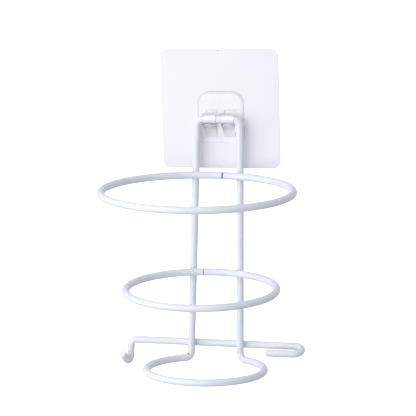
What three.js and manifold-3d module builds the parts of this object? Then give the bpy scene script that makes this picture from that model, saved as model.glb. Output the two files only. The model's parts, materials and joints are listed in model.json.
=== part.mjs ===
// Hair dryer holder. A coated steel wire rack with three stacked rings hangs by its top bar in a
// clear double hook, and the hook sits on a square adhesive pad that sticks to the wall.
//
// Millimetres. +Z is up, +Y points into the wall, +X is to the right for a person facing the wall.
// The origin is the middle of the adhesive's wall face, so the wall is the plane y = 0.

import * as THREE from 'three';
import { mergeVertices } from 'three/addons/utils/BufferGeometryUtils.js';
import Module from 'manifold-3d';

// ---------------------------------------------------------------- driving dimensions

const WIRE = 4.7;                 // coated wire, outside diameter
const WIRE_SIDES = 12;            // sides of the wire's section
const WELD_PITCH = 4.9;           // between the axes of two wires that cross at a weld
const CLEARANCE = 0.3;            // between pieces that would touch
const BEND_STEP = THREE.MathUtils.degToRad(15);
const RING_STEP = THREE.MathUtils.degToRad(6);
const SAME_POINT = 1e-5;          // vertices nearer than this are one vertex

const PAD = { side: 75, corner: 4.5, adhesive: 0.6, film: 0.6, inset: 0.5, rollDeg: 1.3 };
const TAB_NOTCH = { width: 2.2, depth: 1.3 };
const BOND = { thickness: 0.15, inset: 1.5 };
const PLATE = {
  width: 29.2, height: 32, thickness: 2, x: 0.45, z: -5, topCorner: 7.5, bottomCorner: 2, bevel: 0.5,
};
const PRONG = {
  spacing: 11.6, topWidth: 8.6, baseWidth: 7.3, seatRadius: 2.95, wall: 1.9, topZ: -1.2, baseZ: -17.5,
  braceDeg: -45,                  // where the brace leaves the seat's outer arc
  lipDeg: 12,                     // where the lip's front leaves it, to lean back as it rises
  lipRadius: 0.55,                // of the lip's round top
};
const WINDOW = { width: 6.7, topZ: -0.6 };

const BAR = { y: -7.5, z: -5.8, halfLength: 9.2 };
const LEG = {
  left: { topX: -13.45, footX: -18.2, footBend: 3.6 },
  right: { topX: 13.75, footX: 13.3, footBend: 4.8 },
  topBend: 4,
  footBendShare: 1.1,             // of a foot's bend radius that the bend uses up of its chord
  footStraight: 0.9,
};
const RINGS = {
  upper: { radius: 58.1, x: -0.6, z: -40.4, tiltDeg: 0, seamX: 3.5 },
  middle: { radius: 46.3, x: -1.05, z: -103.3, tiltDeg: -1.4, seamX: -9.2 },
};
const CUP_RING = { radius: 36.5, x: -2.05, z: -157.7, tiltDeg: 1.4 };
const RING_SEAM = 0.4;            // gap between the two ends of a ring wire
const CLOSURE = { collar: 0.9, radius: 2.6, edge: 0.15 };   // butt weld that closes the long wire
const CROSSBAR = {
  z: -149.7,
  left: { x: -58.2, bend: 4, drop: [-0.9, 0, -16.5], tipBend: 2.5, tip: [-3.05, -9, 9] },
  right: { x: 52.5, bend: 4.9, slopeDeg: 16.5, returnLength: 21.7 },
};
const WELD = { radius: 2, clearance: 0.06, sides: 24 };

// ---------------------------------------------------------------- materials

const finish = (color, roughness, extra = {}) =>
  new THREE.MeshStandardMaterial({ color, roughness, metalness: 0, ...extra });
const powderCoat = () => finish(0xe9eef6, 0.42);
const clearPlastic = () => finish(0xf1f4f8, 0.08, { transparent: true, opacity: 0.45 });
const filmPlastic = () => finish(0xf4f4fb, 0.2, { transparent: true, opacity: 0.6 });
const adhesiveGel = () => finish(0xeff0f8, 0.35, { transparent: true, opacity: 0.7 });

// ---------------------------------------------------------------- solids and booleans

const wasm = await Module();
wasm.setup();

function toSolid(geometry) {
  const bare = geometry.clone();
  bare.deleteAttribute('normal');
  bare.deleteAttribute('uv');
  const merged = mergeVertices(bare, SAME_POINT);
  return new wasm.Manifold(new wasm.Mesh({
    numProp: 3,
    vertProperties: Float32Array.from(merged.attributes.position.array),
    triVerts: Uint32Array.from(merged.index.array),
  }));
}

function toGeometry(solid) {
  const mesh = solid.getMesh();
  const geometry = new THREE.BufferGeometry();
  geometry.setAttribute('position', new THREE.BufferAttribute(mesh.vertProperties, 3));
  geometry.setIndex(new THREE.BufferAttribute(mesh.triVerts, 1));
  geometry.computeVertexNormals();
  return geometry;
}

// ---------------------------------------------------------------- wires

const vec = (x, y, z) => new THREE.Vector3(x, y, z);

// A path that steps from station to station, so straights take one step and bends take many.
class StationCurve extends THREE.Curve {
  constructor(stations) {
    super();
    this.stations = stations;
  }

  getPoint(t, target = vec(0, 0, 0)) {
    const place = t * (this.stations.length - 1);
    const index = Math.min(Math.floor(place), this.stations.length - 2);
    return target.lerpVectors(this.stations[index], this.stations[index + 1], place - index);
  }

  getUtoTmapping(u) {
    return u;
  }
}

function sweepWire(stations, diameter = WIRE) {
  const section = new THREE.Shape();
  section.absarc(0, 0, diameter / 2, 0, 2 * Math.PI);
  return new THREE.ExtrudeGeometry(section, {
    steps: stations.length - 1,
    curveSegments: WIRE_SIDES / 2,
    extrudePath: new StationCurve(stations),
  });
}

// Stations round one corner of a bent wire: an arc tangent to both straights.
function bendStations(before, corner, after, radius) {
  const incoming = corner.clone().sub(before).normalize();
  const outgoing = after.clone().sub(corner).normalize();
  const turn = incoming.angleTo(outgoing);
  const start = corner.clone().addScaledVector(incoming, -radius * Math.tan(turn / 2));
  const inward = outgoing.clone().addScaledVector(incoming, -outgoing.dot(incoming)).normalize();
  const steps = Math.ceil(turn / BEND_STEP);
  const stations = [];
  for (let i = 0; i <= steps; i += 1) {
    const angle = turn * i / steps;
    stations.push(start.clone()
      .addScaledVector(incoming, radius * Math.sin(angle))
      .addScaledVector(inward, radius * (1 - Math.cos(angle))));
  }
  return stations;
}

// A bent wire's stations from its corner points. A corner with no bend radius is kept as it is.
function bentWire(corners) {
  return corners.flatMap(({ at, bend }, i) => (
    bend ? bendStations(corners[i - 1].at, at, corners[i + 1].at, bend) : [at]
  ));
}

// A point on a ring's axis. Angle 0 is at the back, towards the wall, and angles grow leftwards.
function ringPoint(ring, angle) {
  const outward = ring.radius * Math.cos(angle);
  const tilt = THREE.MathUtils.degToRad(ring.tiltDeg);
  return vec(
    ring.x - ring.radius * Math.sin(angle),
    ring.y + outward * Math.cos(tilt),
    ring.z - outward * Math.sin(tilt),
  );
}

function ringStations(ring, from, to) {
  const steps = Math.ceil((to - from) / RING_STEP);
  return Array.from({ length: steps + 1 }, (_, i) => ringPoint(ring, from + (to - from) * i / steps));
}

// ---------------------------------------------------------------- the long wire's layout

function legCorner(leg, z) {
  const share = (BAR.z - z) / (BAR.z - CUP_RING.z);
  return vec(THREE.MathUtils.lerp(leg.topX, leg.footX, share), BAR.y, z);
}

// A welded ring lies in front of the legs, its axis one weld pitch from the nearer leg's axis.
function placeWeldedRing(ring) {
  const reach = [LEG.left, LEG.right]
    .map((leg) => Math.abs(legCorner(leg, ring.z).x - ring.x));
  const y = BAR.y - Math.sqrt((ring.radius + WELD_PITCH) ** 2 - Math.min(...reach) ** 2);
  return { ...ring, y };
}

// The cup ring passes through both leg feet, and it is open between them.
function placeCupRing() {
  const halfOpening = (LEG.right.footX - LEG.left.footX) / 2;
  const y = BAR.y - Math.sqrt(CUP_RING.radius ** 2 - halfOpening ** 2);
  return { ...CUP_RING, y };
}

const upperRing = placeWeldedRing(RINGS.upper);
const middleRing = placeWeldedRing(RINGS.middle);
const cupRing = placeCupRing();

function footAngle(leg) {
  return Math.asin((cupRing.x - leg.footX) / cupRing.radius);
}

function barEnd(side) {
  return vec(side * (BAR.halfLength + CLEARANCE), BAR.y, BAR.z);
}

function topCorner(leg) {
  return { at: legCorner(leg, BAR.z), bend: LEG.topBend };
}

// Each foot bends on to a short straight chord of the cup ring. A foot turns a little over a
// right angle, so its bend uses up slightly more of the chord than its radius.
function footChord(leg) {
  const length = LEG.footBendShare * leg.footBend + LEG.footStraight;
  return 2 * Math.asin(length / (2 * cupRing.radius));
}

function longWireParts() {
  const [leftAngle, rightAngle] = [footAngle(LEG.left), footAngle(LEG.right) + 2 * Math.PI];
  const leftFoot = ringPoint(cupRing, leftAngle);
  const rightFoot = ringPoint(cupRing, rightAngle);
  const ring = ringStations(
    cupRing, leftAngle + footChord(LEG.left), rightAngle - footChord(LEG.right));
  const closure = ring[0];
  const gap = (CLOSURE.collar / 2 + CLEARANCE) / closure.distanceTo(ring[1]);

  const left = bentWire([
    { at: barEnd(-1) },
    topCorner(LEG.left),
    { at: leftFoot, bend: LEG.left.footBend },
    { at: closure.clone().lerp(ring[1], -gap) },
  ]);
  const right = bentWire([
    { at: closure.clone().lerp(ring[1], gap) },
    ...ring.slice(1).map((at) => ({ at })),
    { at: rightFoot, bend: LEG.right.footBend },
    topCorner(LEG.right),
    { at: barEnd(1) },
  ]);
  return { left, right, closure, along: ring[1].clone().sub(closure).normalize() };
}

const longWire = longWireParts();

// ---------------------------------------------------------------- the other wires

function seamedRing(ring) {
  const seam = Math.asin((ring.x - ring.seamX) / ring.radius);
  const halfGap = RING_SEAM / 2 / ring.radius;
  return ringStations(ring, seam + halfGap, seam + 2 * Math.PI - halfGap);
}

// The crossbar passes behind the legs. Its right end turns back in a flat U, and its left end
// drops and turns up to the front in a small hook.
function crossbarStations() {
  const { left, right, z } = CROSSBAR;
  const y = BAR.y + WELD_PITCH;
  const slope = THREE.MathUtils.degToRad(right.slopeDeg);
  const returnY = y - 2 * right.bend * Math.cos(slope);
  const returnZ = z - 2 * right.bend * Math.sin(slope);
  const leftCorner = vec(left.x, y, z);
  const hookBottom = leftCorner.clone().add(vec(...left.drop));
  return bentWire([
    { at: vec(right.x - right.returnLength, returnY, returnZ) },
    { at: vec(right.x, returnY, returnZ), bend: right.bend },
    { at: vec(right.x, y, z), bend: right.bend },
    { at: leftCorner, bend: left.bend },
    { at: hookBottom, bend: left.tipBend },
    { at: hookBottom.clone().add(vec(...left.tip)) },
  ]);
}

const wires = {
  left_leg: longWire.left,
  right_leg_and_cup_ring: longWire.right,
  upper_ring: seamedRing(upperRing),
  middle_ring: seamedRing(middleRing),
  crossbar: crossbarStations(),
};

// ---------------------------------------------------------------- welds

// A cross weld fills the saddle between two wires: a short rod between their axes, less the wires.
function crossWeld(legPoint, otherPoint, crossing) {
  const rod = new THREE.CylinderGeometry(
    WELD.radius, WELD.radius, legPoint.distanceTo(otherPoint), WELD.sides);
  const direction = otherPoint.clone().sub(legPoint).normalize();
  const middle = legPoint.clone().lerp(otherPoint, 0.5);
  rod.applyQuaternion(new THREE.Quaternion().setFromUnitVectors(vec(0, 1, 0), direction));
  rod.translate(middle.x, middle.y, middle.z);
  const cutDiameter = WIRE + 2 * WELD.clearance;
  const trimmed = crossing.reduce(
    (solid, name) => solid.subtract(toSolid(sweepWire(wires[name], cutDiameter))), toSolid(rod));
  return toGeometry(trimmed);
}

// The point of a ring's axis that is nearest to an upright leg.
function ringPointNear(ring, legPoint) {
  return ringPoint(ring, Math.atan2(ring.x - legPoint.x, legPoint.y - ring.y));
}

function weldGeometries() {
  const sides = { left: [LEG.left, 'left_leg'], right: [LEG.right, 'right_leg_and_cup_ring'] };
  const welds = {};
  for (const [side, [leg, legName]] of Object.entries(sides)) {
    for (const [ring, ringName] of [[upperRing, 'upper_ring'], [middleRing, 'middle_ring']]) {
      const ringSide = ringPointNear(ring, legCorner(leg, ring.z));
      const legSide = legCorner(leg, ringSide.z);
      welds[`weld_${ringName}_${side}`] = crossWeld(legSide, ringSide, [legName, ringName]);
    }
    const legSide = legCorner(leg, CROSSBAR.z);
    const barSide = legSide.clone().add(vec(0, WELD_PITCH, 0));
    welds[`weld_crossbar_${side}`] = crossWeld(legSide, barSide, [legName, 'crossbar']);
  }
  return welds;
}

function closureWeldGeometry() {
  const { collar, radius, edge } = CLOSURE;
  const profile = [
    new THREE.Vector2(0, -collar / 2),
    new THREE.Vector2(radius - edge, -collar / 2),
    new THREE.Vector2(radius, 0),
    new THREE.Vector2(radius - edge, collar / 2),
    new THREE.Vector2(0, collar / 2),
  ];
  const geometry = new THREE.LatheGeometry(profile, WELD.sides);
  geometry.applyQuaternion(
    new THREE.Quaternion().setFromUnitVectors(vec(0, 1, 0), longWire.along));
  geometry.translate(longWire.closure.x, longWire.closure.y, longWire.closure.z);
  return geometry;
}

// ---------------------------------------------------------------- pad and hook

function roundedOutline(width, height, topRadius, bottomRadius) {
  const [x, z] = [width / 2, height / 2];
  const outline = new THREE.Shape();
  outline.absarc(x - bottomRadius, -z + bottomRadius, bottomRadius, -Math.PI / 2, 0);
  outline.absarc(x - topRadius, z - topRadius, topRadius, 0, Math.PI / 2);
  outline.absarc(-x + topRadius, z - topRadius, topRadius, Math.PI / 2, Math.PI);
  outline.absarc(-x + bottomRadius, -z + bottomRadius, bottomRadius, Math.PI, 1.5 * Math.PI);
  outline.closePath();
  return outline;
}

// The carrier film's outline, with a small finger notch in the middle of its top edge.
function notchedOutline(side, corner) {
  const half = side / 2;
  const outline = new THREE.Shape();
  outline.absarc(half - corner, -half + corner, corner, -Math.PI / 2, 0);
  outline.absarc(half - corner, half - corner, corner, 0, Math.PI / 2);
  outline.lineTo(TAB_NOTCH.width / 2, half);
  outline.lineTo(TAB_NOTCH.width / 2, half - TAB_NOTCH.depth);
  outline.lineTo(-TAB_NOTCH.width / 2, half - TAB_NOTCH.depth);
  outline.lineTo(-TAB_NOTCH.width / 2, half);
  outline.absarc(-half + corner, half - corner, corner, Math.PI / 2, Math.PI);
  outline.absarc(-half + corner, -half + corner, corner, Math.PI, 1.5 * Math.PI);
  outline.closePath();
  return outline;
}

// Extrude an outline drawn in x and z forwards, from the plane y = backY.
function extrudeForward(outline, thickness, backY, bevel = 0) {
  const geometry = new THREE.ExtrudeGeometry(outline, {
    depth: thickness - 2 * bevel,
    curveSegments: 8,
    bevelEnabled: bevel > 0,
    bevelSize: bevel,
    bevelThickness: bevel,
    bevelOffset: -bevel,
    bevelSegments: 1,
  });
  geometry.translate(0, 0, bevel);
  geometry.rotateX(Math.PI / 2);
  geometry.translate(0, backY, 0);
  return geometry;
}

const backY = { film: -PAD.adhesive };
backY.bond = backY.film - PAD.film;
backY.plate = backY.bond - BOND.thickness;
backY.prongs = backY.plate - PLATE.thickness;

function plateGeometry() {
  const { width, height, topCorner: top, bottomCorner: bottom } = PLATE;
  const outline = roundedOutline(width, height, top, bottom);
  const geometry = extrudeForward(outline, PLATE.thickness, backY.plate, PLATE.bevel);
  geometry.translate(PLATE.x, 0, PLATE.z);
  return geometry;
}

// The window through the plate behind one prong, from the seat's height up past the lip.
function windowGeometry(x) {
  const bottomZ = BAR.z - PRONG.seatRadius;
  const opening = new THREE.BoxGeometry(WINDOW.width, 2 * PLATE.thickness, WINDOW.topZ - bottomZ);
  opening.translate(x, backY.plate - PLATE.thickness / 2, (WINDOW.topZ + bottomZ) / 2);
  return opening;
}

// One prong's side profile, drawn as distance in front of the plate and height: a seat under the
// bar, a lip before it that thins to a round top, and a brace that runs down to the plate.
function prongProfile() {
  const { seatRadius, wall, topZ, baseZ, braceDeg, lipDeg, lipRadius } = PRONG;
  const seat = [backY.prongs - BAR.y, BAR.z];
  const outer = seatRadius + wall;
  const lip = [seat[0] + seatRadius + lipRadius, topZ - lipRadius];
  const lipStart = THREE.MathUtils.degToRad(lipDeg);
  const root = -PLATE.thickness / 2;
  const profile = new THREE.Shape();
  profile.moveTo(root, baseZ);
  profile.lineTo(0, baseZ);
  profile.absarc(...seat, outer, THREE.MathUtils.degToRad(braceDeg), lipStart);
  profile.absarc(...lip, lipRadius, lipStart, Math.PI);
  profile.absarc(...seat, seatRadius, 0, -Math.PI / 2, true);
  profile.lineTo(root, BAR.z - seatRadius);
  profile.closePath();
  return profile;
}

// The profile is extruded to the top width, then drawn in towards the base.
function prongGeometry(x) {
  const { topWidth, baseWidth, topZ, baseZ } = PRONG;
  const geometry = new THREE.ExtrudeGeometry(prongProfile(), {
    depth: topWidth, curveSegments: 6, bevelEnabled: false,
  });
  geometry.translate(0, 0, -topWidth / 2);
  const position = geometry.attributes.position;
  for (let i = 0; i < position.count; i += 1) {
    const [out, z, across] = [position.getX(i), position.getY(i), position.getZ(i)];
    const share = (topZ - z) / (topZ - baseZ);
    const taper = THREE.MathUtils.lerp(1, baseWidth / topWidth, share);
    position.setXYZ(i, x - across * taper, backY.prongs - out, z);
  }
  return geometry;
}

function hookPlateGeometry() {
  let solid = toSolid(plateGeometry());
  for (const side of [-1, 1]) {
    const x = PLATE.x + side * PRONG.spacing / 2;
    solid = solid.subtract(toSolid(windowGeometry(x))).add(toSolid(prongGeometry(x)));
  }
  return toGeometry(solid);
}

function bondGeometry() {
  const { width, height, topCorner: top, bottomCorner: bottom } = PLATE;
  const shrink = 2 * BOND.inset;
  const outline = roundedOutline(width - shrink, height - shrink, top - BOND.inset, bottom);
  const geometry = extrudeForward(outline, BOND.thickness, backY.bond);
  geometry.translate(PLATE.x, 0, PLATE.z);
  return geometry;
}

// ---------------------------------------------------------------- assembly

function part(name, geometry, material) {
  const mesh = new THREE.Mesh(geometry, material);
  mesh.name = name;
  return mesh;
}

// Everything that is stuck to the wall, turned a little as it was stuck on by hand.
function wallHook() {
  const group = new THREE.Group();
  const adhesiveSide = PAD.side - 2 * PAD.inset;
  const adhesiveOutline = roundedOutline(adhesiveSide, adhesiveSide, PAD.corner, PAD.corner);
  group.add(part('adhesive_sheet', extrudeForward(adhesiveOutline, PAD.adhesive, 0), adhesiveGel()));
  const filmOutline = notchedOutline(PAD.side, PAD.corner);
  group.add(part('carrier_film', extrudeForward(filmOutline, PAD.film, backY.film), filmPlastic()));
  group.add(part('plate_bond', bondGeometry(), clearPlastic()));
  group.add(part('hook_plate', hookPlateGeometry(), clearPlastic()));
  group.rotation.y = -THREE.MathUtils.degToRad(PAD.rollDeg);
  return group;
}

function rack() {
  const group = new THREE.Group();
  for (const [name, stations] of Object.entries(wires)) {
    group.add(part(name, sweepWire(stations), powderCoat()));
  }
  for (const [name, geometry] of Object.entries(weldGeometries())) {
    group.add(part(name, geometry, powderCoat()));
  }
  group.add(part('closure_weld', closureWeldGeometry(), powderCoat()));
  return group;
}

function hangerBar() {
  const ends = [-1, 1].map((side) => vec(side * BAR.halfLength, BAR.y, BAR.z));
  return part('hanger_bar', sweepWire(ends), powderCoat());
}

const holder = new THREE.Group();
holder.add(wallHook(), hangerBar(), rack());

export default holder;
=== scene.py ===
"""Looks for the hair dryer holder: coated wires, clear double hook and adhesive pad.

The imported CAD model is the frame. Every piece but the glue line is rebuilt here as a fine mesh, on
the CAD model's driving dimensions, and rides on one of its bodies. Only the prongs' base and the
plate's front edge are slimmer than there.
"""

import json
import math

import bmesh
import bpy
from mathutils import Matrix, Quaternion, Vector


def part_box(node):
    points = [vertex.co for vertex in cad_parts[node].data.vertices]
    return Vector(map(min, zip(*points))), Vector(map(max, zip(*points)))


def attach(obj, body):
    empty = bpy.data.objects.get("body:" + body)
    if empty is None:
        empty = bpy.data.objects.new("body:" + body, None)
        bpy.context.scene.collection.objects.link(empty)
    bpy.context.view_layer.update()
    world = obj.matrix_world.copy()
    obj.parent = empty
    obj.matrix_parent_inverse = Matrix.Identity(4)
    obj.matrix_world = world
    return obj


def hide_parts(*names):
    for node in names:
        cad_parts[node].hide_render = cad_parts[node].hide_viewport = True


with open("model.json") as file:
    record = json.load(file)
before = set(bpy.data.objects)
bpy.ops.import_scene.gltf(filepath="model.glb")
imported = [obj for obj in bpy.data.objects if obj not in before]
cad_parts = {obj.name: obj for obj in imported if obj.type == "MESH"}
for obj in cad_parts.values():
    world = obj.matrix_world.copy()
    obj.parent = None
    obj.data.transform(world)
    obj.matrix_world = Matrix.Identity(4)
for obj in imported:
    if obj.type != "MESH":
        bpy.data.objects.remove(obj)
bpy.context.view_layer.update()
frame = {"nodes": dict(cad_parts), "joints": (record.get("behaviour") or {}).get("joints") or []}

# ------------------------------------------------------------------ driving dimensions

MM = 0.001
WIRE_RADIUS = 2.35 * MM                           # over the powder coat
WIRE_SIDES = 32
BEND_STEP = math.radians(5)
RING_STEP = math.radians(2)
CUT_EDGE = 0.5 * MM                               # rounding round a cropped end
CUT_EDGE_STEPS = 5
CUT_PIT = [(0.04, 1.1), (0.06, 0.75), (0.2, 0.55), (0.4, 0.3)]   # (setback, radius) in mm
CUT_PIT_DEPTH = 0.45 * MM
TANGENT_REACH = 0.3 * MM                          # to each side of where a tangent is read
SAME_POINT = 0.002 * MM                           # vertices nearer than this are one vertex
SHARP_DEG = 35                                    # edges that turn more than this stay sharp
SHARP_DEG_HOOK = 30
SHARP_DEG_SOFT = 80                               # for welds and burrs

joints = {joint["name"]: joint for joint in frame["joints"]}
PIVOT = Vector(joints["swing_out"]["pos_m"])      # a point on the top bar's axis
WELD_PITCH = 4.9 * MM                             # between the axes of two crossing wires

LEG_LEFT = {"top": -13.45 * MM, "foot": -18.2 * MM, "bend": 3.6 * MM}
LEG_RIGHT = {"top": 13.75 * MM, "foot": 13.3 * MM, "bend": 4.8 * MM}
TOP_BEND = 4 * MM
FOOT_BEND_SHARE = 1.1                             # of a foot's bend radius that its bend uses up
FOOT_STRAIGHT = 0.9 * MM
BAR_HALF_LENGTH = 9.35 * MM                       # to halfway into the CAD gap beside the bar
HAIRLINE = 0.1 * MM                               # left at each end, so that the bar turns freely

JOINT_GROOVE_DEPTH = 0.75 * MM                    # at a ring's butt joint
JOINT_CORE_RADIUS = 1.9 * MM                      # of the near-black core in the groove: bare steel, darkened as painted shade of the gap
JOINT_CORE_REACH = 1.2                            # groove widths to each side
UPPER_JOINT_WIDTH = 0.5 * MM
MIDDLE_JOINT_WIDTH = 0.22 * MM
CLOSURE_SEAM = {"depth": 0.12 * MM, "swell": 0.16 * MM, "width": 0.2 * MM}
SWELL_REACH = 1.3 * MM                            # of the swelling beside a seam
SEAM_CLEARING = 3 * MM                            # where a seam has its own stations
SEAM_FINE = {"reach": 0.6 * MM, "step": 0.06 * MM}
SEAM_COARSE = {"reach": 2.8 * MM, "step": 0.4 * MM}
STATION_GAP = 0.03 * MM                           # the least between two stations

CUT_OFF_TURN = math.radians(35)                   # from the inside of the foot's bend to the front
# the cut-off's near-black spot: bare steel, darkened as painted shade of its pit
CUT_OFF_SHADED_STEEL = {"radius": 0.52 * MM, "sunk": 0.4 * MM, "proud": 0.35 * MM}
BURR = [                                          # (radius, height over the wire) in mm
    (0.3, 0.05), (0.45, 0.15), (0.55, 0.5), (0.75, 0.65), (0.95, 0.5), (1.15, 0), (1.1, -1),
]
BURR_PIT = 0.03 * MM                              # height of the middle of its pit
BURR_ROOT = -1.0 * MM

WELD_STUB = 3.6 * MM                              # half length of the wire stubs in a weld
WELD_BEAD_RADIUS = 2.1 * MM
WELD_BEAD_HALF = 1 * MM
WELD_VOXEL = 0.2 * MM
WELD_RELAX_ROUNDS = 12


def ring_from_node(node, tilt_deg, seam_x):
    """A level or slightly tilted ring, from the box of its CAD node."""
    low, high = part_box(node)
    centre = (low + high) / 2
    radius = (high.x - low.x) / 2 - WIRE_RADIUS
    return {
        "centre": centre,
        "radius": radius,
        "tilt": math.radians(tilt_deg),
        "seam": math.asin((centre.x - seam_x) / radius),
    }


def ring_through_feet(x, z, radius, tilt_deg):
    """The open ring at the bottom, which passes through both leg feet."""
    half_opening = (LEG_RIGHT["foot"] - LEG_LEFT["foot"]) / 2
    y = PIVOT.y - math.sqrt(radius ** 2 - half_opening ** 2)
    return {"centre": Vector((x, y, z)), "radius": radius, "tilt": math.radians(tilt_deg)}


UPPER_RING = ring_from_node("upper_ring", tilt_deg=0, seam_x=3.5 * MM)
MIDDLE_RING = ring_from_node("middle_ring", tilt_deg=-1.4, seam_x=-9.2 * MM)
CUP_RING = ring_through_feet(x=-2.05 * MM, z=-157.7 * MM, radius=36.5 * MM, tilt_deg=1.4)

CROSSBAR_Z = -149.7 * MM
CROSSBAR_LEFT = {
    "x": -58.2 * MM, "bend": 4 * MM, "tip_bend": 2.5 * MM,
    "drop": Vector((-0.9, 0, -16.5)) * MM,
    "tip": Vector((-3.05, -9, 9)) * MM,
}
CROSSBAR_RIGHT = {"x": 52.5 * MM, "bend": 4.9 * MM, "slope": math.radians(16.5), "return": 21.7 * MM}

PAD_ROLL_ANGLE = math.radians(1.3)
PAD_ROLL = Matrix.Rotation(-PAD_ROLL_ANGLE, 4, "Y")
PAD_SIDE = 75 * MM
PAD_CORNER = 4.5 * MM
FILM_EDGE = 0.12 * MM
NOTCH_HALF_WIDTH = 1.1 * MM
NOTCH_DEPTH = 1.3 * MM
ADHESIVE_INSET = 0.5 * MM                         # from the film's edge
ADHESIVE_EDGE = 0.1 * MM
FILM_GAP = 0.02 * MM                              # between the adhesive and the film
FILM_BACK = -0.6 * MM
FILM_FRONT = -1.2 * MM
PLATE_BACK = -1.38 * MM                           # a hair in front of the glue
PLATE_FRONT = -3.35 * MM
PLATE_CENTRE = Vector((0.45 * MM, 0, -5 * MM))
PLATE_WIDTH = 29.2 * MM
PLATE_HEIGHT = 32 * MM
PLATE_TOP_CORNER = 7.5 * MM
PLATE_BOTTOM_CORNER = 2 * MM
PLATE_BACK_EDGE = 0.15 * MM
PLATE_FRONT_EDGE = [                              # (inset, depth behind the front face) in mm
    (0.1, 1.0), (0.3, 0.66), (0.9, 0.16), (1.15, 0.03), (1.4, 0),
]

PRONG_SPACING = 11.6 * MM
PRONG_TOP = -1.2 * MM
PRONG_BASE = -17.5 * MM
PRONG_TOP_WIDTH = 8.6 * MM
PRONG_BASE_WIDTH = 6.9 * MM
PRONG_WALL = 1.9 * MM
PRONG_ROOT = -0.8 * MM                            # how far the prong reaches into the plate
PRONG_EDGE = 0.45 * MM
BRACE_DEG = -45                                   # where the brace leaves the seat's outer arc
LIP_DEG = 12                                      # where the lip's front leaves it
LIP_RADIUS = 0.55 * MM
SEAT_RADIUS = 2.95 * MM
WINDOW_HALF_WIDTH = 3.35 * MM
WINDOW_TOP = -0.6 * MM
WINDOW_SILL = PIVOT.z - 2.93 * MM                 # a hair above the seat's bottom
WINDOW_PAST_BACK = 1 * MM
WINDOW_PAST_FRONT = 0.02 * MM

FLOOR_DROP = 0.9
FLOOR_SIDE = 40
CAMERA_PLACE = Vector((0.3455, -1.6698, 0.2651))
CAMERA_TARGET = Vector((-0.00067, -0.03675, -0.05623))
CAMERA_LENS = 239.3
CAMERA_ROLL = math.radians(-0.3)
KEY_LIGHT = {
    "place": (-0.65, -1.08, 0.157), "target": (0, -0.04, -0.06),
    "size": 2.0, "power": 17.8, "colour": (1.0, 0.98, 0.965),
}
SPARKLE_LIGHT = {
    "place": (-0.462, -2.184, 0.591), "target": (0, -0.011, -0.004),
    "size": 0.3, "power": 2.4, "colour": (1, 1, 1),
}

# ------------------------------------------------------------------ node-tree helpers


def new_material(name):
    material = bpy.data.materials.new(name)
    material.use_nodes = True
    tree = material.node_tree
    shader = tree.nodes["Principled BSDF"]
    return material, tree, shader


def add_node(tree, kind, inputs=None, **settings):
    """Add a node, set its plain properties, then its inputs: a socket is linked, a value is set."""
    node = tree.nodes.new(kind)
    for name, value in settings.items():
        setattr(node, name, value)
    for name, value in (inputs or {}).items():
        if isinstance(value, bpy.types.NodeSocket):
            tree.links.new(value, node.inputs[name])
        else:
            node.inputs[name].default_value = value
    return node


def noise(tree, scale, detail):
    """Solid noise in the object's own space, in features per metre."""
    coordinates = add_node(tree, "ShaderNodeTexCoord")
    node = add_node(tree, "ShaderNodeTexNoise", {
        "Vector": coordinates.outputs["Object"],
        "Scale": scale,
        "Detail": detail,
    })
    return node.outputs["Fac"]


def remap(tree, value, low, high, to_low, to_high):
    """Map low..high to to_low..to_high, held at its ends."""
    node = add_node(tree, "ShaderNodeMapRange", {
        "Value": value, "From Min": low, "From Max": high, "To Min": to_low, "To Max": to_high,
    })
    return node.outputs["Result"]


def blend_colour(tree, factor, first, second):
    """Mix two colours, each a socket or an (r, g, b) value."""
    node = add_node(tree, "ShaderNodeMix", data_type="RGBA")
    colour_a, colour_b, result = node.inputs[6], node.inputs[7], node.outputs[2]
    tree.links.new(factor, node.inputs["Factor"])
    for socket, colour in ((colour_a, first), (colour_b, second)):
        if isinstance(colour, bpy.types.NodeSocket):
            tree.links.new(colour, socket)
        else:
            socket.default_value = (*colour, 1)
    return result


def math_node(tree, operation, *values):
    """A math node with every value linked."""
    node = add_node(tree, "ShaderNodeMath", operation=operation)
    for socket, value in zip(node.inputs, values):
        tree.links.new(value, socket)
    return node.outputs[0]


def let_light_through(tree, shader):
    """Let lamp light and daylight reach what is behind clear plastic."""
    path = add_node(tree, "ShaderNodeLightPath")
    passing = math_node(tree, "MAXIMUM", path.outputs["Is Shadow Ray"], path.outputs["Is Diffuse Ray"])
    clear = add_node(tree, "ShaderNodeBsdfTransparent")
    mix = add_node(tree, "ShaderNodeMixShader")
    tree.links.new(passing, mix.inputs[0])
    tree.links.new(shader.outputs[0], mix.inputs[1])
    tree.links.new(clear.outputs[0], mix.inputs[2])
    tree.links.new(mix.outputs[0], tree.nodes["Material Output"].inputs["Surface"])


def bump(tree, height, distance, strength, below=None):
    """A bump of the given height in metres, on top of the normal below if there is one."""
    inputs = {"Height": height, "Distance": distance, "Strength": strength}
    if below is not None:
        inputs["Normal"] = below
    return add_node(tree, "ShaderNodeBump", inputs).outputs["Normal"]


# ------------------------------------------------------------------ materials


def powder_coat(name, coarse=1.0):
    """Cool white powder coat: faint mottling, satin gloss and a shallow orange peel."""
    material, tree, shader = new_material(name)
    mottling = remap(tree, noise(tree, 90, 3), 0.35, 0.65, 0, 1)
    colour = blend_colour(tree, mottling, (0.742, 0.778, 0.848), (0.778, 0.812, 0.872))
    peel = noise(tree, 1100, 2)
    grain = noise(tree, 5200, 1)
    normal = bump(tree, peel, 0.05 * MM * coarse, 0.8)
    normal = bump(tree, grain, 0.012 * MM * coarse, 0.6, normal)
    tree.links.new(colour, shader.inputs["Base Color"])
    tree.links.new(remap(tree, peel, 0.3, 0.7, 0.36, 0.48), shader.inputs["Roughness"])
    tree.links.new(normal, shader.inputs["Normal"])
    shader.inputs["Specular IOR Level"].default_value = 0.45
    return material


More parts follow.
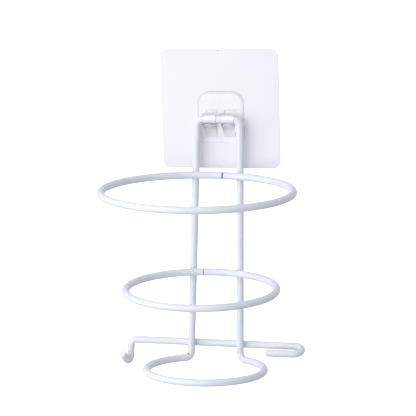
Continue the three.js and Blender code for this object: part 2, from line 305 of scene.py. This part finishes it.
def steel_with_painted_shade():
    """Dulled steel inside a joint that the coat has not filled, made near-black as painted shade of the
    narrow gap and the pit.
    """
    material, tree, shader = new_material("steel_with_painted_shade")
    stain = remap(tree, noise(tree, 2500, 3), 0.35, 0.65, 0, 1)
    colour = blend_colour(tree, stain, (0.05, 0.055, 0.075), (0.11, 0.115, 0.14))
    tree.links.new(colour, shader.inputs["Base Color"])
    shader.inputs["Metallic"].default_value = 0.6
    shader.inputs["Roughness"].default_value = 0.6
    return material


def clear_moulding():
    """Clear moulded plastic with faint flow lines and a slightly hazy polish, with painted shade that
    greys its colour where the surface turns edge-on, for dark refractions at its edges.
    """
    material, tree, shader = new_material("clear_moulding")
    flow = noise(tree, 140, 4)
    streaks = remap(tree, flow, 0.3, 0.7, 0, 1)
    tint = blend_colour(tree, streaks, (0.945, 0.955, 0.985), (0.975, 0.98, 1.0))
    # painted shade: the colour darkens to grey where the surface turns edge-on, standing in for dark
    # refractions
    painted_edge_shade = add_node(tree, "ShaderNodeLayerWeight", {"Blend": 0.5}).outputs["Facing"]
    colour = blend_colour(tree, remap(tree, painted_edge_shade, 0.36, 0.8, 0, 1), tint, (0.24, 0.25, 0.28))
    tree.links.new(colour, shader.inputs["Base Color"])
    tree.links.new(remap(tree, noise(tree, 900, 2), 0.3, 0.7, 0.05, 0.13), shader.inputs["Roughness"])
    tree.links.new(bump(tree, flow, 0.06 * MM, 0.5), shader.inputs["Normal"])
    shader.inputs["IOR"].default_value = 1.49
    shader.inputs["Transmission Weight"].default_value = 1.0
    let_light_through(tree, shader)
    return material


def clear_film():
    """Clear carrier film over the adhesive: milky, smooth, a little wavy, with painted shade along its
    edge and towards its right side.
    """
    material, tree, shader = new_material("clear_film")
    coordinates = add_node(tree, "ShaderNodeTexCoord")
    upright = add_node(tree, "ShaderNodeVectorRotate", {
        "Vector": coordinates.outputs["Object"], "Angle": PAD_ROLL_ANGLE,
    }, rotation_type="Y_AXIS")
    axes = add_node(tree, "ShaderNodeSeparateXYZ", {"Vector": upright.outputs["Vector"]})
    across = remap(tree, axes.outputs["X"], -PAD_SIDE / 2, PAD_SIDE / 2, 0, 1)
    sideways = math_node(tree, "ABSOLUTE", axes.outputs["X"])
    upwards = math_node(tree, "ABSOLUTE", axes.outputs["Z"])
    outwards = math_node(tree, "MAXIMUM", sideways, upwards)
    # painted shade: a grey band along the film's cut edge
    painted_edge_band = remap(tree, outwards, PAD_SIDE / 2 - 0.9 * MM, PAD_SIDE / 2 - 0.4 * MM, 0, 0.6)
    waves = noise(tree, 38, 2)
    specks = noise(tree, 2600, 3)
    # painted shade: the base tone turns darker and bluer towards the right, for the key light falling
    # off away from the left
    base = blend_colour(tree, across, (0.918, 0.93, 0.962), (0.895, 0.9, 0.965))
    cast = blend_colour(tree, remap(tree, waves, 0.2, 0.8, 0, 0.4), base, (0.875, 0.877, 0.95))
    sheet = blend_colour(tree, remap(tree, specks, 0.62, 0.72, 0, 0.4), cast, (0.95, 0.95, 0.98))
    tree.links.new(blend_colour(tree, painted_edge_band, sheet, (0.80, 0.80, 0.86)), shader.inputs["Base Color"])
    tree.links.new(bump(tree, specks, 0.01 * MM, 0.4), shader.inputs["Normal"])
    shader.inputs["Roughness"].default_value = 0.28
    shader.inputs["IOR"].default_value = 1.49
    shader.inputs["Transmission Weight"].default_value = 0.05
    shader.inputs["Alpha"].default_value = 0.93
    return material


def soft_adhesive():
    """Clear tacky gel with a faint milky cast and tiny trapped bubbles."""
    material, tree, shader = new_material("soft_adhesive")
    coordinates = add_node(tree, "ShaderNodeTexCoord")
    cells = add_node(tree, "ShaderNodeTexVoronoi", {
        "Vector": coordinates.outputs["Object"], "Scale": 520.0,
    })
    bubbles = remap(tree, cells.outputs["Distance"], 0.08, 0.2, 1, 0)
    cloud = noise(tree, 60, 3)
    milkiness = remap(tree, cloud, 0.35, 0.65, 0, 1)
    base = blend_colour(tree, milkiness, (0.86, 0.87, 0.93), (0.92, 0.92, 0.96))
    tree.links.new(blend_colour(tree, bubbles, base, (0.97, 0.97, 0.99)), shader.inputs["Base Color"])
    tree.links.new(bump(tree, bubbles, 0.04 * MM, 0.5), shader.inputs["Normal"])
    shader.inputs["Roughness"].default_value = 0.35
    shader.inputs["IOR"].default_value = 1.47
    shader.inputs["Transmission Weight"].default_value = 0.12
    shader.inputs["Alpha"].default_value = 0.93
    return material


def milky_glue():
    """The thin glue line behind the hook plate: milky, with small voids."""
    material, tree, shader = new_material("milky_glue")
    cloud = noise(tree, 260, 3)
    milkiness = remap(tree, cloud, 0.35, 0.65, 0, 1)
    colour = blend_colour(tree, milkiness, (0.77, 0.78, 0.79), (0.80, 0.81, 0.82))
    tree.links.new(colour, shader.inputs["Base Color"])
    tree.links.new(bump(tree, cloud, 0.03 * MM, 0.4), shader.inputs["Normal"])
    shader.inputs["Roughness"].default_value = 0.5
    return material


# ------------------------------------------------------------------ wire paths


def bend_points(before, corner, after, radius):
    """Points round one corner of a bent wire: an arc tangent to both straights."""
    incoming = (corner - before).normalized()
    outgoing = (after - corner).normalized()
    turn = incoming.angle(outgoing)
    start = corner - incoming * radius * math.tan(turn / 2)
    inward = (outgoing - incoming * outgoing.dot(incoming)).normalized()
    steps = math.ceil(turn / BEND_STEP)
    angles = [turn * i / steps for i in range(steps + 1)]
    return [
        start + incoming * radius * math.sin(a) + inward * radius * (1 - math.cos(a))
        for a in angles
    ]


def bent_path(corners):
    """A wire's centre line from (point, bend radius) corners; radius 0 keeps the point."""
    points = [point for point, _ in corners]
    path = []
    for i, (point, radius) in enumerate(corners):
        path += bend_points(points[i - 1], point, points[i + 1], radius) if radius else [point]
    return path


def ring_point(ring, angle):
    """Angle 0 is the ring's back, towards the wall, and angles grow leftwards."""
    outward = ring["radius"] * math.cos(angle)
    return ring["centre"] + Vector((
        -ring["radius"] * math.sin(angle),
        outward * math.cos(ring["tilt"]),
        -outward * math.sin(ring["tilt"]),
    ))


def ring_arc(ring, start, end):
    steps = math.ceil((end - start) / RING_STEP)
    return [ring_point(ring, start + (end - start) * i / steps) for i in range(steps + 1)]


def leg_point(leg, z):
    share = (PIVOT.z - z) / (PIVOT.z - CUP_RING["centre"].z)
    return Vector((leg["top"] + (leg["foot"] - leg["top"]) * share, PIVOT.y, z))


def foot_angle(leg):
    return math.asin((CUP_RING["centre"].x - leg["foot"]) / CUP_RING["radius"])


def foot_chord(leg):
    """The ring's angle from a foot's corner to where the ring proper starts."""
    length = FOOT_BEND_SHARE * leg["bend"] + FOOT_STRAIGHT
    return 2 * math.asin(length / (2 * CUP_RING["radius"]))


def bar_end(side, short=0.0):
    """Where the straight top bar ends and a leg's corner begins, or a little short of it."""
    return Vector((side * (BAR_HALF_LENGTH - short), PIVOT.y, PIVOT.z))


def long_wire_path():
    left, right = foot_angle(LEG_LEFT), foot_angle(LEG_RIGHT) + 2 * math.pi
    ring = ring_arc(CUP_RING, left + foot_chord(LEG_LEFT), right - foot_chord(LEG_RIGHT))
    return bent_path([
        (bar_end(-1), 0),
        (leg_point(LEG_LEFT, PIVOT.z), TOP_BEND),
        (ring_point(CUP_RING, left), LEG_LEFT["bend"]),
        *[(point, 0) for point in ring],
        (ring_point(CUP_RING, right), LEG_RIGHT["bend"]),
        (leg_point(LEG_RIGHT, PIVOT.z), TOP_BEND),
        (bar_end(1), 0),
    ])


def crossbar_path():
    """From the end of the flat U on the right to the tip of the small hook on the left."""
    left, right = CROSSBAR_LEFT, CROSSBAR_RIGHT
    y = PIVOT.y + WELD_PITCH
    back = Vector((0, -math.cos(right["slope"]), -math.sin(right["slope"]))) * 2 * right["bend"]
    right_corner = Vector((right["x"], y, CROSSBAR_Z))
    left_corner = Vector((left["x"], y, CROSSBAR_Z))
    hook_bottom = left_corner + left["drop"]
    return bent_path([
        (right_corner + back - Vector((right["return"], 0, 0)), 0),
        (right_corner + back, right["bend"]),
        (right_corner, right["bend"]),
        (left_corner, left["bend"]),
        (hook_bottom, left["tip_bend"]),
        (hook_bottom + left["tip"], 0),
    ])


# ------------------------------------------------------------------ wire meshes


class Centreline:
    """A path that can be read at any distance along it."""

    def __init__(self, points, closed=False):
        self.points = points + [points[0]] if closed else points
        self.lengths = [0.0]
        for first, second in zip(self.points, self.points[1:]):
            self.lengths.append(self.lengths[-1] + (second - first).length)
        self.total = self.lengths[-1]
        self.closed = closed

    def at(self, distance):
        distance = distance % self.total if self.closed else min(max(distance, 0), self.total)
        i = 0
        while i < len(self.points) - 2 and self.lengths[i + 1] < distance:
            i += 1
        share = (distance - self.lengths[i]) / (self.lengths[i + 1] - self.lengths[i])
        return self.points[i].lerp(self.points[i + 1], share)

    def tangent(self, distance):
        return (self.at(distance + TANGENT_REACH) - self.at(distance - TANGENT_REACH)).normalized()

    def distance_near(self, point):
        """How far along the line its nearest vertex to a point is."""
        nearest = min(range(len(self.points)), key=lambda i: (self.points[i] - point).length)
        return self.lengths[nearest]


def butt_seam(distance, depth, width, swell=0.1 * MM):
    """Radius change round a butt weld: a narrow, steep groove in a slight swelling."""
    groove = depth * math.exp(-((distance / width) ** 4))
    return swell * math.exp(-((distance / SWELL_REACH) ** 2)) - groove


def spread(centre, reach, step):
    """Evenly spaced marks on both sides of a centre."""
    count = round(reach / step)
    return [centre + step * i for i in range(-count, count + 1)]


def wire_stations(line, seams, cut_ends):
    """(distance, radius) along a wire, with close stations where a seam needs them."""
    start = CUT_EDGE if 0 in cut_ends else 0
    stop = line.total - (CUT_EDGE if 1 in cut_ends else 0)
    marks = [start, *[length for length in line.lengths if start < length < stop], stop]
    for seam in seams:
        marks = [mark for mark in marks if abs(mark - seam["at"]) > SEAM_CLEARING]
        marks += spread(seam["at"], **SEAM_FINE) + spread(seam["at"], **SEAM_COARSE)
    merged = []
    for mark in sorted(marks):
        if not merged or mark - merged[-1] > STATION_GAP:
            merged.append(mark)
    stations = []
    for mark in merged:
        change = sum(butt_seam(mark - seam["at"], **seam["shape"]) for seam in seams)
        stations.append((mark, WIRE_RADIUS + change))
    return stations


def cut_end_rings():
    """(setback, radius) from a cropped end's side to its middle: rounded edge, flat face, pit."""
    rings = []
    for i in range(1, CUT_EDGE_STEPS + 1):
        angle = math.pi / 2 * i / CUT_EDGE_STEPS
        setback = CUT_EDGE * (1 - math.sin(angle))
        rings.append((setback, WIRE_RADIUS - CUT_EDGE * (1 - math.cos(angle))))
    return rings + [(setback * MM, radius * MM) for setback, radius in CUT_PIT]


def ring_of_vertices(mesh, centre, across, upward, radius):
    angles = [2 * math.pi * j / WIRE_SIDES for j in range(WIRE_SIDES)]
    return [
        mesh.verts.new(centre + across * radius * math.cos(a) + upward * radius * math.sin(a))
        for a in angles
    ]


def bridge(mesh, first, second):
    for j in range(WIRE_SIDES):
        k = (j + 1) % WIRE_SIDES
        mesh.faces.new((first[j], first[k], second[k], second[j]))


def close_end(mesh, ring, centre, flip):
    middle = mesh.verts.new(centre)
    for j in range(WIRE_SIDES):
        k = (j + 1) % WIRE_SIDES
        mesh.faces.new((middle, ring[k], ring[j]) if flip else (middle, ring[j], ring[k]))


def sweep(name, line, cut_ends=(), seams=()):
    """A round wire along a centre line. cut_ends holds 0 and 1 for rounded, cropped ends."""
    mesh = bmesh.new()
    stations = wire_stations(line, seams, cut_ends)
    if line.closed:
        stations = stations[:-1]
    across = line.tangent(0).orthogonal().normalized()
    rings = []
    for distance, radius in stations:
        tangent = line.tangent(distance)
        across = (across - tangent * across.dot(tangent)).normalized()
        upward = tangent.cross(across)
        rings.append(ring_of_vertices(mesh, line.at(distance), across, upward, radius))
    for first, second in zip(rings, rings[1:]):
        bridge(mesh, first, second)
    if line.closed:
        bridge(mesh, rings[-1], rings[0])
    else:
        add_end(mesh, line, rings[0], 0, 0 in cut_ends)
        add_end(mesh, line, rings[-1], 1, 1 in cut_ends)
    bmesh.ops.recalc_face_normals(mesh, faces=mesh.faces)
    return to_object(name, mesh)


def add_end(mesh, line, last_ring, end, is_cut):
    """Close one end: flat where it meets another piece, rounded and pitted where it is cropped."""
    centre = line.at(line.total if end else 0)
    outward = line.tangent(line.total) if end else -line.tangent(0)
    if not is_cut:
        close_end(mesh, last_ring, centre, bool(end))
        return
    ring_centre = sum((vertex.co for vertex in last_ring), Vector()) / WIRE_SIDES
    across = (last_ring[0].co - ring_centre).normalized()
    upward = (last_ring[WIRE_SIDES // 4].co - ring_centre).normalized()
    rings = [last_ring]
    for setback, radius in cut_end_rings():
        rings.append(ring_of_vertices(mesh, centre - outward * setback, across, upward, radius))
    for first, second in zip(rings, rings[1:]):
        bridge(mesh, first, second)
    close_end(mesh, rings[-1], centre - outward * CUT_PIT_DEPTH, bool(end))


def to_object(name, mesh):
    """Turn a bmesh into an object in the scene, and free it."""
    data = bpy.data.meshes.new(name)
    mesh.to_mesh(data)
    mesh.free()
    thing = bpy.data.objects.new(name, data)
    bpy.context.scene.collection.objects.link(thing)
    return thing


def smooth(thing, degrees):
    """Smooth shading that keeps edges sharper than the angle."""
    data = thing.data
    for polygon in data.polygons:
        polygon.use_smooth = True
    data.set_sharp_from_angle(angle=math.radians(degrees))


def finish_piece(thing, material, body, replaced=(), degrees=SHARP_DEG):
    """Give a piece its shading, material and body, and hide the CAD nodes it stands for."""
    smooth(thing, degrees)
    thing.data.materials.clear()
    thing.data.materials.append(material)
    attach(thing, body)
    if replaced:
        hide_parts(*replaced)


def apply_modifiers(thing):
    graph = bpy.context.evaluated_depsgraph_get()
    shaped = bpy.data.meshes.new_from_object(thing.evaluated_get(graph))
    thing.modifiers.clear()
    thing.data = shaped


# ------------------------------------------------------------------ wires and welds


def make_top_bar(coat):
    """The straight of the long wire that lies in the hook, on a body of its own."""
    bar = sweep("top_bar", Centreline([bar_end(-1, HAIRLINE), bar_end(1, HAIRLINE)]))
    finish_piece(bar, coat, "hanger", ["hanger_bar"])


def make_long_wire(coat):
    """Both legs and the cup ring, closed by a butt weld just past the left foot."""
    line = Centreline(long_wire_path())
    closure = ring_point(CUP_RING, foot_angle(LEG_LEFT) + foot_chord(LEG_LEFT))
    wire = sweep("long_wire", line, seams=[{"at": line.distance_near(closure), "shape": CLOSURE_SEAM}])
    nodes = ["left_leg", "right_leg_and_cup_ring", "closure_weld"]
    finish_piece(wire, coat, "rack", nodes)


def bend_inside(corner, before, after, radius):
    """The middle of a near right-angle bend, the way to its inside and the way of travel there."""
    incoming = (corner - before).normalized()
    outgoing = (after - corner).normalized()
    inward = (outgoing - incoming).normalized()
    middle = corner + inward * radius * (1 / math.cos(math.pi / 4) - 1)
    return middle, inward, (incoming + outgoing).normalized()


def make_cut_off_mark(coat, shaded_steel):
    """The burr round a near-black spot, bare steel darkened as painted shade of its pit, between the
    inside and the front of the left foot's bend.
    """
    angle = foot_angle(LEG_LEFT)
    top, foot = leg_point(LEG_LEFT, PIVOT.z), ring_point(CUP_RING, angle)
    after = ring_point(CUP_RING, angle + foot_chord(LEG_LEFT))
    middle, inward, onward = bend_inside(foot, top, after, LEG_LEFT["bend"])
    forwards = inward.cross(onward)
    outward = inward * math.cos(CUT_OFF_TURN) + forwards * math.sin(CUT_OFF_TURN)
    surface = middle + outward * WIRE_RADIUS
    make_burr(surface, outward, coat)
    mesh = bmesh.new()
    low, high = surface - outward * CUT_OFF_SHADED_STEEL["sunk"], surface + outward * CUT_OFF_SHADED_STEEL["proud"]
    rod_between(mesh, low, high, CUT_OFF_SHADED_STEEL["radius"])
    finish_piece(to_object("cut_off_shaded_steel", mesh), shaded_steel, "rack")


def make_burr(surface, outward, coat):
    """A round lip with a pit in it, from its middle out to its foot inside the wire."""
    mesh = bmesh.new()
    across = outward.orthogonal().normalized()
    upward = outward.cross(across)
    rings = [
        ring_of_vertices(mesh, surface + outward * height * MM, across, upward, radius * MM)
        for radius, height in BURR
    ]
    for first, second in zip(rings, rings[1:]):
        bridge(mesh, first, second)
    close_end(mesh, rings[0], surface + outward * BURR_PIT, False)
    close_end(mesh, rings[-1], surface + outward * BURR_ROOT, True)
    bmesh.ops.recalc_face_normals(mesh, faces=mesh.faces)
    finish_piece(to_object("cut_off_mark", mesh), coat, "rack", degrees=SHARP_DEG_SOFT)


def make_ring(node, ring, coat, shaded_steel, width):
    """A ring wire with a narrow groove at its butt joint, and a near-black core inside it: bare steel,
    darkened as painted shade of the narrow gap.
    """
    start = ring["seam"] + math.pi
    line = Centreline(ring_arc(ring, start, start + 2 * math.pi)[:-1], closed=True)
    joint = line.distance_near(ring_point(ring, ring["seam"]))
    shape = {"depth": JOINT_GROOVE_DEPTH, "width": width}
    wire = sweep(f"{node}_wire", line, seams=[{"at": joint, "shape": shape}])
    finish_piece(wire, coat, "rack", [node])
    mesh = bmesh.new()
    reach = JOINT_CORE_REACH * width
    rod_between(mesh, line.at(joint - reach), line.at(joint + reach), JOINT_CORE_RADIUS)
    finish_piece(to_object(f"{node}_joint_core", mesh), shaded_steel, "rack")


def make_crossbar(coat):
    """The wire that crosses both legs and holds the cord, with both ends cropped."""
    wire = sweep("cord_hook_wire", Centreline(crossbar_path()), cut_ends=(0, 1))
    finish_piece(wire, coat, "rack", ["crossbar"])


def rod_between(mesh, start, end, radius):
    """Add a closed rod to a bmesh."""
    direction = end - start
    turn = Vector((0, 0, 1)).rotation_difference(direction)
    place = Matrix.Translation((start + end) / 2) @ turn.to_matrix().to_4x4()
    bmesh.ops.create_cone(
        mesh, cap_ends=True, segments=24, radius1=radius, radius2=radius,
        depth=direction.length, matrix=place,
    )


def fuse(thing, voxel, rounds):
    """Melt a heap of closed solids into one skin and relax it, which leaves fillets."""
    remesh = thing.modifiers.new("melt", "REMESH")
    remesh.mode = "VOXEL"
    remesh.voxel_size = voxel
    relax = thing.modifiers.new("relax", "SMOOTH")
    relax.factor = 0.5
    relax.iterations = rounds
    apply_modifiers(thing)


def make_cross_weld(name, node, on_leg, leg_direction, on_wire, wire_direction, coat):
    """A weld's fillet: stubs of both wires and a bead between them, melted together.

    The stubs shrink into the real wires when the skin relaxes, so only the fillet shows."""
    mesh = bmesh.new()
    for centre, direction in ((on_leg, leg_direction), (on_wire, wire_direction)):
        stub = direction * WELD_STUB
        rod_between(mesh, centre - stub, centre + stub, WIRE_RADIUS)
    middle = (on_leg + on_wire) / 2
    bead = (on_wire - on_leg).normalized() * WELD_BEAD_HALF
    rod_between(mesh, middle - bead, middle + bead, WELD_BEAD_RADIUS)
    weld = to_object(name, mesh)
    fuse(weld, WELD_VOXEL, WELD_RELAX_ROUNDS)
    finish_piece(weld, coat, "rack", [node], SHARP_DEG_SOFT)


def near_ring_angle(ring, point):
    """The angle at which a ring passes closest to a point."""
    offset = point - ring["centre"]
    return math.atan2(-offset.x, offset.y)


def ring_tangent(ring, angle):
    step = 0.01
    return (ring_point(ring, angle + step) - ring_point(ring, angle - step)).normalized()


def make_welds(coat):
    """Six cross welds: the upper ring, the middle ring and the crossbar, each on both legs."""
    sides = {"left": LEG_LEFT, "right": LEG_RIGHT}
    rings = {"upper_ring": UPPER_RING, "middle_ring": MIDDLE_RING}
    for side, leg in sides.items():
        down = (leg_point(leg, CROSSBAR_Z) - leg_point(leg, PIVOT.z)).normalized()
        for ring_name, ring in rings.items():
            angle = near_ring_angle(ring, leg_point(leg, ring["centre"].z))
            on_ring = ring_point(ring, angle)
            on_leg = leg_point(leg, on_ring.z)
            along = ring_tangent(ring, angle)
            node = f"weld_{ring_name}_{side}"
            make_cross_weld(f"{node}_fillet", node, on_leg, down, on_ring, along, coat)
        on_leg = leg_point(leg, CROSSBAR_Z)
        on_bar = on_leg + Vector((0, WELD_PITCH, 0))
        node = f"weld_crossbar_{side}"
        make_cross_weld(f"{node}_fillet", node, on_leg, down, on_bar, Vector((1, 0, 0)), coat)


# ------------------------------------------------------------------ pad and hook


def rounded_outline(width, height, top, bottom, inset=0.0, steps=10):
    """Points (x, z) of a rounded rectangle, drawn in by inset, counter-clockwise from +x."""
    corners = [
        (width / 2 - bottom, -height / 2 + bottom, bottom, -90),
        (width / 2 - top, height / 2 - top, top, 0),
        (-width / 2 + top, height / 2 - top, top, 90),
        (-width / 2 + bottom, -height / 2 + bottom, bottom, 180),
    ]
    points = []
    for x, z, radius, start in corners:
        for i in range(steps + 1):
            angle = math.radians(start + 90 * i / steps)
            reach = max(radius - inset, 0.02 * MM)
            points.append((x + reach * math.cos(angle), z + reach * math.sin(angle)))
    return points


def stack_outlines(name, layers, centre=Vector()):
    """A closed solid through outlines at given depths: layers are (points, y), back to front."""
    mesh = bmesh.new()
    loops = [
        [mesh.verts.new(Vector((x, y, z)) + centre) for x, z in points]
        for points, y in layers
    ]
    count = len(loops[0])
    for first, second in zip(loops, loops[1:]):
        for j in range(count):
            k = (j + 1) % count
            mesh.faces.new((first[j], first[k], second[k], second[j]))
    mesh.faces.new(loops[0])
    mesh.faces.new(list(reversed(loops[-1])))
    bmesh.ops.recalc_face_normals(mesh, faces=mesh.faces)
    return to_object(name, mesh)


def film_outline(inset=0.0):
    """The film's outline with its finger notch in the top edge."""
    points = rounded_outline(PAD_SIDE, PAD_SIDE, PAD_CORNER, PAD_CORNER, inset, 12)
    top, depth = PAD_SIDE / 2 - inset, NOTCH_DEPTH
    half = NOTCH_HALF_WIDTH + inset
    split = points.index(max(points, key=lambda p: (round(p[1], 6), -p[0])))
    notch = [(half, top), (half, top - depth), (-half, top - depth), (-half, top)]
    return points[:split] + notch + points[split:]


def make_pad(film_material, adhesive_material):
    """The carrier film with the adhesive layer behind it."""
    film = stack_outlines("film_sheet", [
        (film_outline(FILM_EDGE), FILM_BACK),
        (film_outline(0), FILM_BACK - FILM_EDGE),
        (film_outline(0), FILM_FRONT + FILM_EDGE),
        (film_outline(FILM_EDGE), FILM_FRONT),
    ])
    side = PAD_SIDE - 2 * ADHESIVE_INSET
    adhesive = stack_outlines("adhesive_layer", [
        (rounded_outline(side, side, PAD_CORNER, PAD_CORNER, ADHESIVE_EDGE), 0),
        (rounded_outline(side, side, PAD_CORNER, PAD_CORNER), -ADHESIVE_EDGE),
        (rounded_outline(side, side, PAD_CORNER, PAD_CORNER), FILM_BACK + FILM_GAP),
    ])
    for thing in (film, adhesive):
        thing.data.transform(PAD_ROLL)
    finish_piece(film, film_material, "wall_hook", ["carrier_film"])
    finish_piece(adhesive, adhesive_material, "wall_hook", ["adhesive_sheet"])


def boolean(thing, other, operation):
    """Add a solid to a thing or cut it out of it, and use the solid up."""
    modifier = thing.modifiers.new("boolean", "BOOLEAN")
    modifier.operation = operation
    modifier.object = other
    modifier.solver = "MANIFOLD"
    apply_modifiers(thing)
    bpy.data.objects.remove(other)


def merge_close_vertices(thing):
    mesh = bmesh.new()
    mesh.from_mesh(thing.data)
    bmesh.ops.remove_doubles(mesh, verts=mesh.verts, dist=SAME_POINT)
    bmesh.ops.dissolve_degenerate(mesh, edges=mesh.edges, dist=SAME_POINT)
    mesh.to_mesh(thing.data)
    mesh.free()


def plate_outline(inset):
    return rounded_outline(PLATE_WIDTH, PLATE_HEIGHT, PLATE_TOP_CORNER, PLATE_BOTTOM_CORNER, inset)


def plate_solid():
    """The plate, with a small back edge, a little draft and a broad soft front edge."""
    layers = [
        (plate_outline(PLATE_BACK_EDGE), PLATE_BACK),
        (plate_outline(0), PLATE_BACK - PLATE_BACK_EDGE),
    ]
    for inset, depth in PLATE_FRONT_EDGE:
        layers.append((plate_outline(inset * MM), PLATE_FRONT + depth * MM))
    return stack_outlines("hook_moulding", layers, PLATE_CENTRE)


def window_solid(x):
    """What is cut out of the plate behind a prong, reaching past both faces."""
    left, right = x - WINDOW_HALF_WIDTH, x + WINDOW_HALF_WIDTH
    outline = [(left, WINDOW_SILL), (right, WINDOW_SILL), (right, WINDOW_TOP), (left, WINDOW_TOP)]
    return stack_outlines("window", [
        (outline, PLATE_BACK + WINDOW_PAST_BACK),
        (outline, PLATE_FRONT - WINDOW_PAST_FRONT),
    ])


def arc(centre, radius, start_deg, end_deg, steps):
    """Evenly spaced points on a circle, as (out, height)."""
    angles = [math.radians(start_deg + (end_deg - start_deg) * i / steps) for i in range(steps + 1)]
    return [(centre[0] + radius * math.cos(a), centre[1] + radius * math.sin(a)) for a in angles]


def prong_profile():
    """A prong's side view as (distance in front of the plate, height)."""
    seat = (PLATE_FRONT - PIVOT.y, PIVOT.z)
    lip = (seat[0] + SEAT_RADIUS + LIP_RADIUS, PRONG_TOP - LIP_RADIUS)
    return [
        (PRONG_ROOT, PRONG_BASE),
        (0, PRONG_BASE),
        *arc(seat, SEAT_RADIUS + PRONG_WALL, BRACE_DEG, LIP_DEG, 12),
        *arc(lip, LIP_RADIUS, LIP_DEG, 180, 12),
        *arc(seat, SEAT_RADIUS, 0, -90, 14),
        (PRONG_ROOT, PIVOT.z - SEAT_RADIUS),
    ]


def prong_solid(x):
    """One prong: the profile drawn out sideways, narrower at the base, with rounded side edges."""
    mesh = bmesh.new()
    profile = prong_profile()
    walls = []
    for side in (-1, 1):
        wall = []
        for out, z in profile:
            share = (PRONG_TOP - z) / (PRONG_TOP - PRONG_BASE)
            half = (PRONG_TOP_WIDTH + (PRONG_BASE_WIDTH - PRONG_TOP_WIDTH) * share) / 2
            wall.append(mesh.verts.new((x + side * half, PLATE_FRONT - out, z)))
        walls.append(wall)
    count = len(profile)
    for j in range(count):
        k = (j + 1) % count
        mesh.faces.new((walls[0][j], walls[0][k], walls[1][k], walls[1][j]))
    sides = [mesh.faces.new(walls[0]), mesh.faces.new(list(reversed(walls[1])))]
    edges = list({edge for face in sides for edge in face.edges})
    bmesh.ops.bevel(mesh, geom=edges, offset=PRONG_EDGE, segments=3, profile=0.5, affect="EDGES")
    bmesh.ops.recalc_face_normals(mesh, faces=mesh.faces)
    return to_object("prong", mesh)


def make_hook(plastic):
    """One moulding: the plate with its two prongs and the windows behind them."""
    hook = plate_solid()
    places = [PLATE_CENTRE.x + side * PRONG_SPACING / 2 for side in (-1, 1)]
    for x in places:
        boolean(hook, prong_solid(x), "UNION")
    for x in places:
        boolean(hook, window_solid(x), "DIFFERENCE")
    merge_close_vertices(hook)
    hook.data.transform(PAD_ROLL)
    finish_piece(hook, plastic, "wall_hook", ["hook_plate"], SHARP_DEG_HOOK)


def dress_bond(material):
    """The glue line keeps its CAD shape, since it is flat and hidden behind the plate."""
    bond = frame["nodes"]["plate_bond"]
    bond.data.materials.clear()
    bond.data.materials.append(material)


# ------------------------------------------------------------------ studio


def area_light(name, place, target, size, power, colour):
    data = bpy.data.lights.new(name, "AREA")
    data.shape = "DISK"
    data.size = size
    data.energy = power
    data.color = colour
    light = bpy.data.objects.new(name, data)
    light.location = place
    light.rotation_euler = (Vector(target) - Vector(place)).to_track_quat("-Z", "Y").to_euler()
    light.visible_camera = False
    bpy.context.scene.collection.objects.link(light)


def make_floor():
    """A large pale floor well below the holder. It only shows, and lights nothing."""
    bpy.ops.mesh.primitive_plane_add(size=FLOOR_SIDE, location=(0, 0, -FLOOR_DROP))
    floor = bpy.context.object
    floor.name = "floor"
    material, tree, shader = new_material("pale_floor")
    shader.inputs["Base Color"].default_value = (0.95, 0.95, 0.95, 1)
    shader.inputs["Roughness"].default_value = 0.9
    shader.inputs["Emission Color"].default_value = (1, 1, 1, 1)
    shader.inputs["Emission Strength"].default_value = 1.0
    floor.data.materials.append(material)
    floor.visible_diffuse = False
    floor.visible_glossy = False
    floor.visible_transmission = False


def make_world():
    """Soft room light that grows towards the backdrop, and plain white where the camera sees it."""
    world = bpy.data.worlds.new("studio")
    bpy.context.scene.world = world
    world.use_nodes = True
    tree = world.node_tree
    background = tree.nodes["Background"]
    background.inputs["Color"].default_value = (0.95, 0.955, 1.0, 1)
    coordinates = add_node(tree, "ShaderNodeTexCoord")
    rise = add_node(tree, "ShaderNodeVectorMath", operation="DOT_PRODUCT")
    tree.links.new(coordinates.outputs["Generated"], rise.inputs[0])
    rise.inputs[1].default_value = (-0.05, 0.93, 0.36)
    strength = remap(tree, rise.outputs["Value"], -1, 1, 0.38, 0.85)
    seen = add_node(tree, "ShaderNodeLightPath").outputs["Is Camera Ray"]
    tree.links.new(math_node(tree, "MAXIMUM", strength, seen), background.inputs["Strength"])


def make_studio():
    make_world()
    make_floor()
    area_light("key", **KEY_LIGHT)
    area_light("sparkle", **SPARKLE_LIGHT)
    scene = bpy.context.scene
    scene.view_settings.view_transform = "Standard"
    scene.view_settings.look = "None"


def make_camera():
    """The fitted view: a long lens, 12 degrees to the right of the front and 11 above it."""
    data = bpy.data.cameras.new("camera")
    data.sensor_width = 36
    data.lens = CAMERA_LENS
    data.clip_end = 60
    camera = bpy.data.objects.new("camera", data)
    camera.location = CAMERA_PLACE
    aim = (CAMERA_TARGET - CAMERA_PLACE).to_track_quat("-Z", "Y")
    roll = Quaternion((0, 0, 1), CAMERA_ROLL)
    camera.rotation_mode = "QUATERNION"
    camera.rotation_quaternion = aim @ roll
    bpy.context.scene.collection.objects.link(camera)
    bpy.context.scene.camera = camera


# ------------------------------------------------------------------ build

make_camera()
make_studio()

coat = powder_coat("powder_coat")
weld_coat = powder_coat("weld_coat", 1.6)
shaded_steel = steel_with_painted_shade()

make_top_bar(coat)
make_long_wire(coat)
make_cut_off_mark(weld_coat, shaded_steel)
make_ring("upper_ring", UPPER_RING, coat, shaded_steel, UPPER_JOINT_WIDTH)
make_ring("middle_ring", MIDDLE_RING, coat, shaded_steel, MIDDLE_JOINT_WIDTH)
make_crossbar(coat)
make_welds(weld_coat)
make_pad(clear_film(), soft_adhesive())
make_hook(clear_moulding())
dress_bond(milky_glue())
